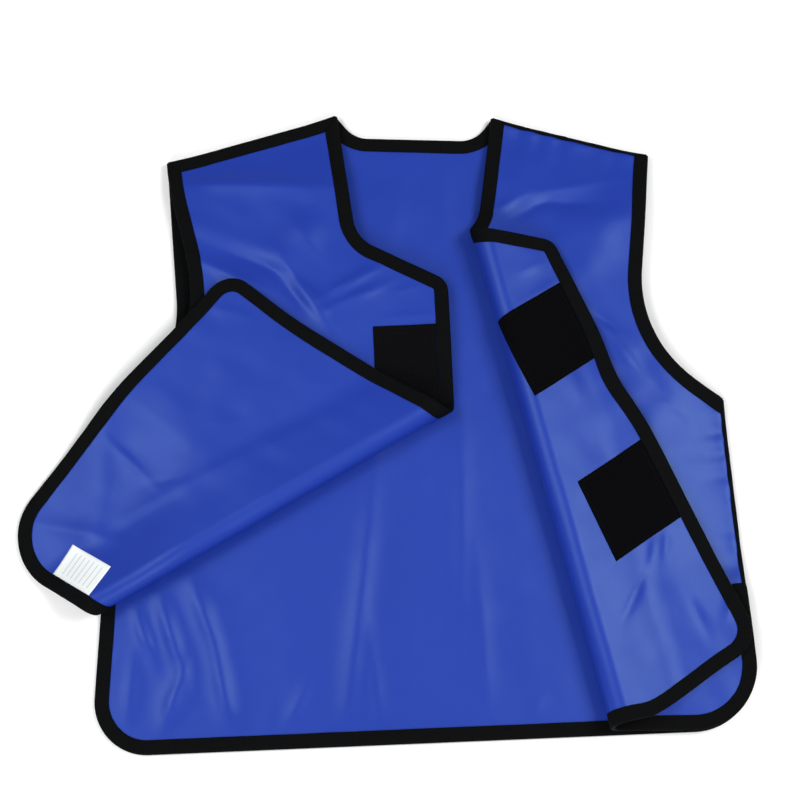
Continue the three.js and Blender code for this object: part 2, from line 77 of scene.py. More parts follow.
# Corners: across as a share of HALF, up as a share of LENGTH above the hem, round in mm
CORNERS = {
    "right": {
        "neck": (0.239, 1.003, 0),
        "neckBend": (0.187, 0.792, 38),
        "neckEdge": (-0.098, 0.718, 16),
        "hemEdge": (-0.12, 0.046, 28),
        "frontHem": (0.972, -0.014, 56),
        "hem": (1.013, -0.002, 48),
        "armpit": (0.944, 0.515, 0),
        "armhole": (0.741, 0.612, 120),
        "tip": (0.78, 0.931, 0),
    },
    "left": {
        "neck": (0.266, 0.992, 0),
        "neckBend": (0.21, 0.812, 38),
        "neckEdge": (-0.079, 0.716, 16),
        "hemEdge": (-0.033, 0.018, 28),
        "frontHem": (0.993, 0.01, 58),
        "hem": (0.993, 0.01, 58),
        "armpit": (0.944, 0.515, 0),
        "armhole": (0.685, 0.612, 120),
        "tip": (0.757, 0.921, 0),
    },
}
# Each front: its side, the seed of its waves, its slit's height, how far its armhole is drawn in, the
# width of its seam tapes above, and its fold: the two ends of its outermost line, as shares like the
# corners, and the radius of its roll
FRONTS = {
    "right": dict(
        side=-1, seed=1, slit=157, pull=15, seam=12.5,
        fold=((-0.1115, 0.5107), (0.9508, 0.2178), 12)),
    "left": dict(
        side=1, seed=2, slit=132, pull=0, seam=3.5,
        fold=((0.1869, 0.7838), (0.5344, 0.0248), 13)),
}
# Soft ridges: middle as shares, turn in degrees, half length and width by HALF, height by BULGE
RIDGES = {
    "right": [(0.393, 0.792, -38, 0.197, 0.072, 0.33), (0.197, 0.677, -30, 0.18, 0.079, 0.22)],
    "left": [(0.623, 0.825, 20, 0.18, 0.079, 0.33), (0.705, 0.38, 75, 0.23, 0.085, 0.22)],
}

# Creases by the layer they lie in, in plan millimetres: middle, turn in degrees, half length,
# half width, height, and how pointed the profile is (2 is round)
CREASES = {
    "right under": [
        (-146, 247, -4, 82, 15, 6.4, 1.25),
        (-173, 155, -28, 40, 7, 4.4, 1.4),
        (-150, 168, -24, 45, 8, -3.2, 1.6),
        (-104, 136, -58, 34, 8, 5.0, 1.5),
        (-122, 142, -50, 30, 6, -2.8, 1.6),
        (-61, 147, 27, 28, 5, 3.4, 1.3),
        (-58, 131, 22, 28, 5, 3.0, 1.3),
        (-102, 192, -55, 26, 11, 2.4, 1.7),
        (-12, 137, 8, 14, 3, 0.9, 1.3),
        (-10, 111, 3, 26, 3, 0.9, 1.3),
    ],
    "right flap": [
        (-277, -18, -46, 34, 4, 2.0, 1.1),
        (-242, -42, 10, 12, 3, -0.7, 1.2),
        (-171, 13, 6, 20, 3, 0.6, 1.2),
        (-332, -84, -14, 40, 10, 2.6, 1.5),
        (-166, 116, -30, 12, 4, 0.9, 1.3),
        (-186, 121, -20, 14, 4, 0.8, 1.3),
        (-250, 20, -40, 60, 16, 1.6, 1.7),
        (-206, -40, 25, 130, 13, 2.6, 1.7),
    ],
    "left under": [
        (86, 218, 30, 22, 4, 2.2, 1.3),
        (118, 217, 26, 20, 5, -1.8, 1.5),
        (149, 221, -4, 34, 9, -3.6, 1.5),
        (158, 238, 10, 38, 6, 1.2, 1.4),
        (180, 184, 66, 36, 20, 3.2, 1.9),
        (182, 101, -36, 16, 4, -1.8, 1.4),
        (201, 64, -52, 40, 7, 1.9, 1.5),
        (222, 40, -58, 40, 8, -1.6, 1.7),
        (240, 15, -30, 16, 4, 0.8, 1.3),
    ],
    "left flap": [
        (223, -117, 82, 12, 4, 1.8, 1.4),
        (211, -122, 76, 12, 4, 1.5, 1.4),
        (190, -164, 62, 24, 4, 1.8, 1.4),
        (250, -182, -68, 20, 5, -1.3, 1.5),
        (282, -170, 62, 16, 4, 1.8, 1.4),
        (112, 152, 24, 14, 4, 0.8, 1.3),
        (122, 130, 34, 20, 4, 0.9, 1.3),
        (165, 10, -58, 40, 12, 1.2, 1.8),
        (150, -60, 70, 60, 18, 1.3, 2.0),
    ],
    "back": [
        (-262, -182, -70, 28, 6, 4.0, 1.4),
        (-236, -184, -73, 38, 8, 5.0, 1.4),
        (-235, -246, 71, 32, 8, 5.0, 1.4),
        (-206, -166, -71, 32, 9, 4.2, 1.5),
        (-189, -232, -79, 50, 9, 4.4, 1.5),
        (-276, -240, 84, 40, 7, 3.0, 1.5),
        (-122, -254, 62, 26, 6, 2.2, 1.4),
        (-62, -165, 82, 110, 10, 3.0, 1.6),
        (-48, -240, 95, 60, 7, 1.3, 1.5),
        (37, -80, 88, 95, 9, 1.6, 1.6),
        (52, -190, 92, 80, 8, 1.4, 1.6),
        (-20, 215, 80, 45, 12, 1.2, 1.8),
        (30, 225, 95, 40, 9, 1.0, 1.7),
        (98, -262, 60, 14, 4, 1.1, 1.3),
        (-150, -272, 75, 16, 4, 1.1, 1.3),
    ],
}

# Sideways drift of a flap: middle in plan millimetres, reach, and the drift
SWAYS = {
    "right": [],
    "left": [(178, 40, 34, -6, -2), (205, -250, 60, 3, -9)],
}

# Puckers along a seam: how high, how far from the seam, where they are full and their mean spacing
PUCKER_HIGH = {"right": 0.35, "left": 1.3}
PUCKER_REACH = 15
PUCKER_START = 5
PUCKER_PITCH = 17

# Soft waves over the cloth, by height, and the distances from an edge over which creases and fine
# waves set in
SWELL = 0.5
FINE_UNDER = 0.35
FINE_FLAP = 0.3
BACK_SWELL = 0.35
BACK_FINE = 0.15
FREE_OF_SEAM = (3, 34)
FREE_OF_BACK_EDGE = (8, 44)

# How far out from the centre line the pull at an armhole sets in
PULL_FROM = (90, 210)

# Fineness of the meshes
SPAN = 3.6
BACK_SPAN = 4.2
ROLL_TURN = math.radians(9)
EDGE_STEP = 2.4
PATCH_CELL = (0.8, 1.6)
RIM_CLEAR = 0.55
OUTLINE_SKIP = 8
TABLE_REACH = 1200
TABLE_STEP = 0.25
FAR = 1e9

# Tapes: one narrower than NARROW_TAPE has no stitches, and what lies over DRIFT_FROM inside the edge
# drifts a little
NARROW_TAPE = 8
SKEW_REACH = 34
NEARLY_STRAIGHT = 0.97
DRIFT = 0.11
DRIFT_FROM = 6
UNDER_SHIFT = 3

STITCH_PITCH = 3.4
STITCH_LONG = 2.3
STITCH_IN = 2.3
STITCH_SIDES = 5
STITCH_SHOULDERS = (0.22, 0.78)
STITCH_HALF_WIDE = 0.32
STITCH_HALF_THICK = 0.2
STITCH_ON_TAPE = 2.1

PATCH_SEAT = 1.14
PATCH_TUCK = 0.05
PATCH_STITCH_IN = 3.2
LABEL_STITCH_IN = 1.6
RIB_PITCH = 2.4


def vec(*values):
    return np.array(values, float)


def unit(v):
    return v / np.linalg.norm(v, axis=-1, keepdims=True)


def smooth(x, low, high):
    t = np.clip((x - low) / (high - low), 0, 1)
    return t * t * (3 - 2 * t)


def mix(a, b, t):
    return a + (b - a) * t


def away(p, a, b, trim=0.0):
    """Distance from points to the stretch between a and b, shortened at both ends by trim."""
    d = b - a
    length = np.linalg.norm(d)
    t = np.clip((p - a) @ d / length, trim, length - trim)
    return np.linalg.norm(p - (a + t[..., None] * d / length), axis=-1)


def ring_distance(p, ring):
    """Distance from points to the nearest side of a closed ring."""
    near = np.full(len(p), FAR)
    for a, b in zip(ring, np.roll(ring, -1, axis=0)):
        near = np.minimum(near, away(p, a, b))
    return near


def bumps(table, p):
    """Height of soft ridges at points; a row is middle, turn, half length, half width, height, power."""
    total = np.zeros(p.shape[:-1])
    for row in table:
        u, v, turn, long, wide, high = row[:6]
        power = row[6] if len(row) > 6 else 2
        a = math.radians(turn)
        x, y = p[..., 0] - u, p[..., 1] - v
        along = (x * math.cos(a) + y * math.sin(a)) / long
        across = np.abs(-x * math.sin(a) + y * math.cos(a)) / wide
        total = total + high * np.exp(-along**2 - across**power)
    return total


def ripple(seed, count, short, long):
    """A smooth seeded wavy function of plan points, between about -1 and 1."""
    rng = np.random.default_rng(seed)
    angle = rng.uniform(0, 2 * math.pi, count)
    wave = rng.uniform(short, long, count)
    phase = rng.uniform(0, 2 * math.pi, count)
    k = np.stack([np.cos(angle), np.sin(angle)]) * 2 * math.pi / wave
    return lambda p: np.sin(p @ k + phase).sum(-1) / math.sqrt(count) / 1.4


def share_at(across, up):
    return vec(across * HALF, HEM + up * LENGTH)


def side_corners(name):
    corner = {
        joint: (share_at(across, up), round_)
        for joint, (across, up, round_) in CORNERS[name].items()
    }
    armpit, hem = corner["armpit"][0], corner["hem"][0]
    share = FRONTS[name]["slit"] / (armpit[1] - hem[1])
    corner["vent"] = (mix(hem, armpit, share), 0)
    return corner


def round_reach(before, p, after, round_):
    """How far the round of a corner reaches along its two edges."""
    into, out = unit(p - before), unit(after - p)
    turn = math.atan2(into[0] * out[1] - into[1] * out[0], into @ out)
    return round_ * math.tan(abs(turn) / 2)


def trace(corners, step):
    """Points along a run of corners, with the outward direction at each."""
    points, outs = [], []

    def straight(a, b):
        d = b - a
        length = np.linalg.norm(d)
        count = max(1, round(length / step))
        for i in range(count + 1):
            points.append(a + d * i / count)
            outs.append(vec(d[1], -d[0]) / length)

    start = corners[0][0]
    for (before, _), (p, round_), (after, _) in zip(corners, corners[1:], corners[2:]):
        into, out = unit(p - before), unit(after - p)
        turn = math.atan2(into[0] * out[1] - into[1] * out[0], into @ out)
        reach = round_ * math.tan(abs(turn) / 2)
        begin = p - into * reach
        straight(start, begin)
        left = vec(-into[1], into[0])
        centre = begin + left * round_ * np.sign(turn)
        count = max(2, math.ceil(abs(turn) * round_ / step))
        for k in range(1, count):
            c, s = math.cos(turn * k / count), math.sin(turn * k / count)
            spin = np.array([[c, -s], [s, c]])
            points.append(centre + spin @ (begin - centre))
            outs.append(spin @ vec(into[1], -into[0]))
        start = p + out * reach
    straight(start, corners[-1][0])
    return np.array(points), np.array(outs)


class Fold:
    """The rolled shape of a fold: how far and how high the cloth goes past its start."""

    def __init__(self, start, end, radius):
        start, end = share_at(*start), share_at(*end)
        self.d = unit(end - start)
        self.n = vec(self.d[1], -self.d[0])
        self.start = start - self.n * (radius + PANEL / 2)
        self.radius = radius
        self.back = math.pi + ROLL_SLOPE
        ease = ROLL_EASE * (1 - math.cos(ROLL_SLOPE))
        drop = radius * (1 + math.cos(ROLL_SLOPE)) - ease - FLAP_RISE
        self.slope = drop / math.sin(ROLL_SLOPE)
        self.rolled = radius * self.back

    def turn(self, s):
        late = (s - self.rolled - self.slope) / ROLL_EASE
        return np.clip(s / self.radius, 0, self.back) + np.clip(late, 0, ROLL_SLOPE)

    def profile(self, s):
        a = np.clip(s / self.radius, 0, self.back)
        along = np.clip(s - self.rolled, 0, self.slope)
        b = np.clip((s - self.rolled - self.slope) / ROLL_EASE, 0, ROLL_SLOPE)
        flat = np.maximum(s - self.rolled - self.slope - ROLL_EASE * ROLL_SLOPE, 0)
        ease = ROLL_EASE * (np.sin(ROLL_SLOPE - b) - math.sin(ROLL_SLOPE))
        settle = ROLL_EASE * (np.cos(ROLL_SLOPE - b) - math.cos(ROLL_SLOPE))
        reach = np.minimum(s, 0) + self.radius * np.sin(a)
        reach = reach - along * math.cos(ROLL_SLOPE) + ease - flat
        lift = self.radius * (1 - np.cos(a)) - along * math.sin(ROLL_SLOPE) - settle
        return reach, lift


class Shape:
    """A laid cloth. lift() moves points of the pattern to their place, w off the middle of the cloth."""

    up = 1
    fold = None

    def lift(self, p, w):
        h = 0.25
        du = self.lay(p + vec(h, 0)) - self.lay(p - vec(h, 0))
        dv = self.lay(p + vec(0, h)) - self.lay(p - vec(0, h))
        w = np.asarray(w, float)
        return self.lay(p) + unit(np.cross(du, dv)) * (w * self.up)[..., None]


class FrontShape(Shape):
    def __init__(self, name):
        front = FRONTS[name]
        self.name, self.up, self.pull = name, front["side"], front["pull"]
        self.corner = {k: v[0] for k, v in side_corners(name).items()}
        self.fold = Fold(*front["fold"])
        self.line = [share_at(*front["fold"][0]), share_at(*front["fold"][1])]
        self.ridges = [
            (*share_at(across, up), turn, long * HALF, wide * HALF, high * BULGE)
            for across, up, turn, long, wide, high in RIDGES[name]
        ]
        seed = front["seed"]
        self.swell = ripple(10 + seed, 9, 70, 190)
        self.fine = ripple(20 + seed, 14, 24, 60)
        self.pucker = ripple(30 + seed, 8, PUCKER_PITCH * 0.7, PUCKER_PITCH * 1.6)

    def seam(self, p, trim=0.0):
        c = self.corner
        shoulder = away(p, c["neck"], c["tip"], trim)
        return np.minimum(shoulder, away(p, c["armpit"], c["vent"], trim))

    def puckers(self, p):
        c = self.corner
        total = 0
        for a, b in [("neck", "tip"), ("armpit", "vent")]:
            d = unit(c[b] - c[a])
            near = away(p, c[a], c[b])
            along = ((p - c[a]) @ d)[..., None] * vec(1, 0)
            fade = smooth(near, 0, PUCKER_START) * np.exp(-near / PUCKER_REACH)
            total = total + fade * (1 + self.pucker(along))
        return total * PUCKER_HIGH[self.name]

    def under(self, p):
        c = self.corner
        top, low = c["armpit"], c["hem"]
        side = mix(top[0], low[0], (top[1] - p[..., 1]) / (top[1] - low[1]))
        inside = np.stack([np.minimum(p[..., 0], side), p[..., 1]], -1)
        seam = self.seam(inside, SEAM_CORE)
        from_fold = away(inside, *self.line) / FOLD_SAG_REACH
        loose = smooth(seam, SEAM_CORE, SEAM_CORE + BULGE_REACH)
        soft = bumps(self.ridges, inside) - FOLD_SAG * np.exp(-(from_fold**2))
        level = SEAM_LEVEL + BULGE * smooth(seam, 0, BULGE_REACH) + loose * soft
        floor = OUTER + 0.2 - FLAP_RISE
        return mix(level, floor, smooth(p[..., 0] - side, OVERHANG_START, OVERHANG_START + OVERHANG))

    def lay(self, p):
        q = p - self.fold.start
        s = q @ self.fold.n
        reach, lift = self.fold.profile(s)
        plan = self.fold.start + (q @ self.fold.d)[..., None] * self.fold.d
        plan = plan + reach[..., None] * self.fold.n
        c = self.corner
        share = np.clip((plan[..., 1] - c["armpit"][1]) / (c["tip"][1] - c["armpit"][1]), 0, 1)
        pulled = self.pull * np.sin(math.pi * share) ** 2 * smooth(plan[..., 0], *PULL_FROM)
        x = self.up * (plan[..., 0] - pulled)
        z = self.under(plan) + lift
        flap = smooth(s, self.fold.rolled * 0.55, self.fold.rolled + 24)
        lower = 1 - smooth(s, -12, self.fold.rolled * 0.35)
        world = np.stack([x, plan[..., 1]], -1)
        for u, v, reach_, drift_u, drift_v in SWAYS[self.name]:
            near = np.exp(-((world - vec(u, v)) ** 2).sum(-1) / reach_**2)[..., None]
            world = world + flap[..., None] * near * vec(drift_u, drift_v)
        free = smooth(self.seam(p), *FREE_OF_SEAM)
        z = z + lower * free * bumps(CREASES[f"{self.name} under"], world)
        z = z + lower * self.puckers(p) + lower * free * FINE_UNDER * self.fine(world)
        z = z + flap * (bumps(CREASES[f"{self.name} flap"], world) + FINE_FLAP * self.fine(world))
        z = z + (flap + lower * free) * SWELL * (1 + self.swell(world))
        return np.concatenate([world, z[..., None]], -1)


class BackShape(Shape):
    def __init__(self, outline):
        self.outline = outline
        self.swell = ripple(5, 9, 60, 170)
        self.fine = ripple(6, 14, 24, 60)

    def lay(self, p):
        near = ring_distance(p.reshape(-1, 2), self.outline).reshape(p.shape[:-1])
        raised = 1 - smooth(near, BAND, BAND + BACK_EDGE_REACH)
        free = smooth(near, *FREE_OF_BACK_EDGE)
        z = mix(BACK_LOW, BACK_EDGE, raised)
        soft = bumps(CREASES["back"], p) + BACK_SWELL * (1 + self.swell(p))
        z = z + free * (soft + BACK_FINE * (1 + self.fine(p)))
        return np.stack([p[..., 0], p[..., 1], z], -1)


class Run:
    """A stretch of edge from one joint to the next, and the tape's width along it."""

    def __init__(self, corners, start, end, width=BAND):
        self.p, self.n = trace(corners, EDGE_STEP)
        self.start, self.end, self.width = start, end, width
        steps = np.linalg.norm(np.diff(self.p, axis=0), axis=1)
        self.s = np.concatenate([[0], np.cumsum(steps)])
        self.length = self.s[-1]


def runs_of(corners, widths):
    """The runs of a closed outline. Corners are (name, p, round); a width is by the run's ends."""
    joints = [i for i, c in enumerate(corners) if not c[2]]
    runs = []
    for k, first in enumerate(joints):
        last = joints[(k + 1) % len(joints)]
        count = (last - first) % len(corners) or len(corners)
        stretch = [corners[(first + i) % len(corners)] for i in range(count + 1)]
        ends = (stretch[0][0], stretch[-1][0])
        runs.append(Run([c[1:] for c in stretch], *ends, widths.get(ends, BAND)))
    for k, run in enumerate(runs):
        before, after = runs[k - 1], runs[(k + 1) % len(runs)]
        run.skew = [corner_skew(run, before, 0), corner_skew(run, after, -1)]
    return runs


def corner_skew(run, other, end):
    """How far the inner edge of the tape shifts along the run where it meets the next tape."""
    n1, n2 = run.n[end], other.n[-1 - end]
    c = n1 @ n2
    if run.width == other.width:
        x = run.width * (n1 + n2) / (1 + c)
    elif abs(c) > NEARLY_STRAIGHT:
        return 0.0
    else:
        x = (run.width * (n1 - n2 * c) + other.width * (n2 - n1 * c)) / (1 - c * c)
    tangent = vec(-n1[1], n1[0])
    return float(-x @ tangent)


def band_points(run, m):
    """Pattern points a distance m inside the edge, all along a run; beside a corner they are skewed."""
    m = np.asarray(m, float)
    tangent = np.stack([-run.n[:, 1], run.n[:, 0]], -1)
    reach = min(SKEW_REACH, run.length / 2)
    fade = np.clip(1 - run.s / reach, 0, 1) * run.skew[0]
    fade = fade + np.clip(1 - (run.length - run.s) / reach, 0, 1) * run.skew[1]
    share = (np.maximum(m, 0) / run.width)[..., None]
    return run.p - run.n * m[..., None] + tangent * fade[:, None] * share


def back_corners():
    joints = ["neck", "tip", "armhole", "armpit", "vent", "hem"]
    sides = []
    for name in ["right", "left"]:
        corner, side = side_corners(name), FRONTS[name]["side"]
        sides.append([(f"{name} {j}", corner[j][0] * vec(side, 1), corner[j][1]) for j in joints])
    right, left = sides

    def bend(p):
        return ("bend", vec(p[0] - np.sign(p[0]) * BACK_NECK_INSET, p[1] - BACK_NECK_DEPTH), 30)

    return [bend(left[0][1]), bend(right[0][1]), *right, *left[::-1]]


def front_corners(name):
    corner = side_corners(name)
    order = "neck neckBend neckEdge hemEdge frontHem vent armpit armhole tip".split()
    return [(joint, *corner[joint]) for joint in order]


def mesh_object(name, points, faces, uvs=None):
    """A mesh object from millimetre points; uvs, in millimetres, are by point."""
    mesh = bpy.data.meshes.new(name)
    mesh.from_pydata((np.asarray(points) * MM).tolist(), [], [list(map(int, f)) for f in faces])
    if uvs is not None:
        layer = mesh.uv_layers.new(name="pattern")
        index = np.zeros(len(mesh.loops), np.int64)
        mesh.loops.foreach_get("vertex_index", index)
        layer.data.foreach_set("uv", (np.asarray(uvs)[index] * MM).astype(np.float32).ravel())
    mesh.polygons.foreach_set("use_smooth", [True] * len(mesh.polygons))
    mesh.validate()
    mesh.update()
    obj = bpy.data.objects.new(name, mesh)
    bpy.context.scene.collection.objects.link(obj)
    return obj


def outward_object(name, points, faces, uvs=None):
    """A closed mesh object with its faces turned outward."""
    obj = mesh_object(name, points, faces, uvs)
    mesh = obj.data
    mesh.calc_loop_triangles()
    co = np.array([v.co for v in mesh.vertices])
    tri = np.array([t.vertices for t in mesh.loop_triangles])
    a, b, c = (co[tri[:, k]] for k in range(3))
    if np.einsum("ij,ij->i", a, np.cross(b, c)).sum() < 0:
        mesh.flip_normals()
    return obj


def inside_ring(p, ring):
    inside = np.zeros(len(p), bool)
    for a, b in zip(ring, np.roll(ring, -1, axis=0)):
        if a[1] == b[1]:
            continue
        crossed = (a[1] > p[:, 1]) != (b[1] > p[:, 1])
        at_x = a[0] + (b[0] - a[0]) * (p[:, 1] - a[1]) / (b[1] - a[1])
        inside ^= crossed & (p[:, 0] < at_x)
    return inside


def flat_mesh(ring, fold, span):
    """Triangles over a pattern outline: its ring first, then a lattice that is closer where cloth rolls."""
    if fold is None:
        spread = gather = lambda p: p
    else:
        table = np.arange(-TABLE_REACH, TABLE_REACH, TABLE_STEP)
        far = table + span * fold.turn(table) / ROLL_TURN

        def spread(p):
            q = p - fold.start
            return np.stack([q @ fold.d, np.interp(q @ fold.n, table, far)], -1)

        def gather(p):
            s = np.interp(p[:, 1], far, table)
            return fold.start + p[:, :1] * fold.d + s[:, None] * fold.n

    flat = spread(ring)
    low, high = flat.min(0), flat.max(0)
    pitch = span * math.sqrt(0.75)

    def lattice_row(j, y):
        x = np.arange(low[0] + (j % 2) * span / 2, high[0], span)
        return np.stack([x, np.full(len(x), y)], -1)

    rows = np.arange(low[1], high[1], pitch)
    lattice = np.concatenate([lattice_row(j, y) for j, y in enumerate(rows)])
    lattice = lattice[inside_ring(lattice, flat)]
    lattice = lattice[ring_distance(lattice, flat) > RIM_CLEAR * span]
    every = np.concatenate([flat, lattice])
    made = geometry.delaunay_2d_cdt(
        [Vector(p) for p in every.tolist()], [], [list(range(len(flat)))], 1, 1e-5)
    points = np.array([list(v) for v in made[0]])
    return gather(points) if fold is not None else points, np.array([list(f) for f in made[2]])


def rim_edges(triangles):
    edges = {}
    for a, b, c in triangles.tolist():
        for edge in ((a, b), (b, c), (c, a)):
            if edge[::-1] in edges:
                del edges[edge[::-1]]
            else:
                edges[edge] = True
    return list(edges)


def sheet_object(name, shape, points, triangles, low, high, uvs=None):
    """A closed sheet between two distances from the middle of a laid shape; they may vary by point."""
    uvs = points if uvs is None else uvs
    count = len(points)
    low, high = (np.broadcast_to(np.asarray(w, float), (count,)) for w in (low, high))
    corners = np.concatenate([shape.lift(points, high), shape.lift(points, low)])
    first = [triangles, triangles[:, ::-1] + count]
    walls = [(b, a, a + count) for a, b in rim_edges(triangles)]
    walls += [(b, a + count, b + count) for a, b in rim_edges(triangles)]
    faces = np.concatenate([*first, np.array(walls)])
    a, b, c = (corners[faces[:, k]] for k in range(3))
    if np.einsum("ij,ij->i", a, np.cross(b, c)).sum() < 0:
        faces = faces[:, ::-1]
    return mesh_object(name, corners, faces, np.concatenate([uvs, uvs]))


def half_section(width):
    """Half of a folded tape's section: distance inside the edge, and distance off the cloth's middle."""
    end = width - GAP
    line = [(end, INNER), (end + 0.12, 1.75), (end - 0.2, 2.02), (end - 0.8, 2.2)]
    if width > NARROW_TAPE:
        line += [(width - STITCH_IN, 2.0), (width - STITCH_IN - 1.1, 2.3)]
        line += [(width * 0.52, 2.42), (width * 0.28, 2.42)]
    return line + [(1.0, 2.38), (0.0, 2.3), (-0.7, 1.95), (-1.15, 1.3), (-1.3, 0.45)]


def tape_object(name, run, upper, lower=None, run_below=None):
    """A tape folded over the edge of one cloth, or over the edges of two."""
    lower, run_below = lower or upper, run_below or run
    wave = ripple(len(name), 5, 22, 70)
    drift = DRIFT * (wave(np.stack([run.s, np.zeros_like(run.s)], -1)) - 1)
    top, bottom = half_section(run.width), half_section(run_below.width)
    rows, around = [], []

    def add_row(cloth, edge, m, w, place):
        inner = np.full(len(run.p), m) + (drift if m > DRIFT_FROM else 0)
        rows.append(cloth.lift(band_points(edge, inner), np.full(len(run.p), w)))
        around.append(place)

    for m, w in top:
        add_row(upper, run, m, w, m)
    for m, w in bottom[::-1]:
        add_row(lower, run_below, m, -w, -m - UNDER_SHIFT)
    add_row(lower, run_below, -GAP, -INNER, -UNDER_SHIFT / 2)
    add_row(upper, run, -GAP, INNER, -UNDER_SHIFT / 2)
    ring = np.array(rows)
    slide = 0.5 * GAP
    for end, inner in ((0, 1), (-1, -2)):
        d = ring[:, inner] - ring[:, end]
        ring[:, end] += unit(d) * slide
    sides, count = ring.shape[:2]
    points = ring.transpose(1, 0, 2).reshape(-1, 3)
    uvs = np.stack([np.repeat(run.s, sides), np.tile(around, count)], -1)
    faces = []
    for i in range(count - 1):
        for k in range(sides):
            a, b = i * sides + k, i * sides + (k + 1) % sides
            faces.append((a, b, b + sides, a + sides))
    half = len(top)
    last = (count - 1) * sides
    inner_low, inner_high = sides - 2, sides - 1
    fan = [(k, k + 1, inner_high) for k in range(half - 1)]
    fan += [(half - 1, half, inner_low, inner_high)]
    fan += [(k, k + 1, inner_low) for k in range(half, sides - 3)]
    faces += [tuple(reversed(f)) for f in fan]
    faces += [tuple(i + last for i in f) for f in fan]
    return outward_object(name, points, faces, uvs)


def stitch_rows(lines, name):
    """Thread stitches from lines of (start, end, normal) arrays, each a small pointed capsule."""
    points, faces = [], []
    sides = STITCH_SIDES
    for start, end, normal in lines:
        d = unit(end - start)
        side = np.cross(d, normal)
        for i in range(len(start)):
            base = len(points)
            points.append(start[i])
            for share in STITCH_SHOULDERS:
                centre = mix(start[i], end[i], share)
                for k in range(sides):
                    a = 2 * math.pi * k / sides
                    out = side[i] * STITCH_HALF_WIDE * math.cos(a)
                    points.append(centre + out + normal[i] * STITCH_HALF_THICK * math.sin(a))
            points.append(end[i])
            tip = base + 1 + 2 * sides
            for k in range(sides):
                j = (k + 1) % sides
                faces.append((base, base + 1 + j, base + 1 + k))
                faces.append((base + 1 + k, base + 1 + j, base + 1 + sides + j, base + 1 + sides + k))
                faces.append((tip, base + 1 + sides + k, base + 1 + sides + j))
    return outward_object(name, points, faces)


def stitch_line(shape, at_s, face, depth, pattern):
    """Start, end and normal of the stitches along a line of the pattern."""
    start, end = pattern(at_s - STITCH_LONG / 2), pattern(at_s + STITCH_LONG / 2)
    a = shape.lift(start, np.full(len(at_s), depth * face))
    b = shape.lift(end, np.full(len(at_s), depth * face))
    over = shape.lift(start, np.full(len(at_s), (depth + 1) * face))
    return a, b, unit(over - a)


def tape_stitches(name, run, upper, lower=None, run_below=None):
    lines = []
    below = (lower or upper, run_below or run, -1)
    for shape, edge, face in ((upper, run, 1), below):
        if edge.width < NARROW_TAPE:
            continue
        inner = band_points(edge, np.full(len(edge.p), edge.width - STITCH_IN))
        steps = np.concatenate([[0], np.cumsum(np.linalg.norm(np.diff(inner, axis=0), axis=1))])
        at_s = np.arange(STITCH_PITCH, steps[-1] - STITCH_PITCH, STITCH_PITCH)

        def pattern(s, steps=steps, inner=inner):
            return np.stack([np.interp(s, steps, inner[:, 0]), np.interp(s, steps, inner[:, 1])], -1)

        lines.append(stitch_line(shape, at_s, face, STITCH_ON_TAPE, pattern))
    return stitch_rows(lines, name)


# Patches: front, edge, side of the cloth, top as a share of LENGTH or, below 0, the foot's distance
# past the corner's round, height, width, turn of its rows in degrees, thickness
PATCHES = {
    "upper_hook_patch": ("left", "opening", -1, 0.65, PATCH_HEIGHT, PATCH_WIDTH, 7, 1.5),
    "lower_hook_patch": ("left", "opening", -1, 0.371, PATCH_HEIGHT, PATCH_WIDTH, 8, 1.5),
    "loop_patch": ("right", "opening", 1, 0.649, PATCH_HEIGHT, LOOP_WIDTH, 0, 1.5),
    "care_label": ("right", "vent", -1, -2, LABEL_HEIGHT, LABEL_WIDTH, 0, 0.45),
}


def patch_frame(name):
    """Corner and the two directions of a patch: along the edge and inward."""
    front, edge, _, up, height, _, turn, _ = PATCHES[name]
    corner = {k: v[0] for k, v in side_corners(front).items()}
    ends = ("neckEdge", "hemEdge") if edge == "opening" else ("vent", "frontHem")
    a, b = (corner[k] for k in ends)
    top = HEM + up * LENGTH
    if up < 0:
        round_ = CORNERS[front]["frontHem"][2]
        reach = round_reach(corner["hemEdge"], b, a, round_)
        top = b[1] + reach - up + height
    along = unit(b - a)
    inward = vec(-along[1], along[0]) if edge == "opening" else vec(along[1], -along[0])
    start = a + along * ((top - a[1]) / along[1]) + inward * (BAND - PATCH_TUCK)
    tilt = math.tan(math.radians(turn))
    return start, along, inward + along * tilt


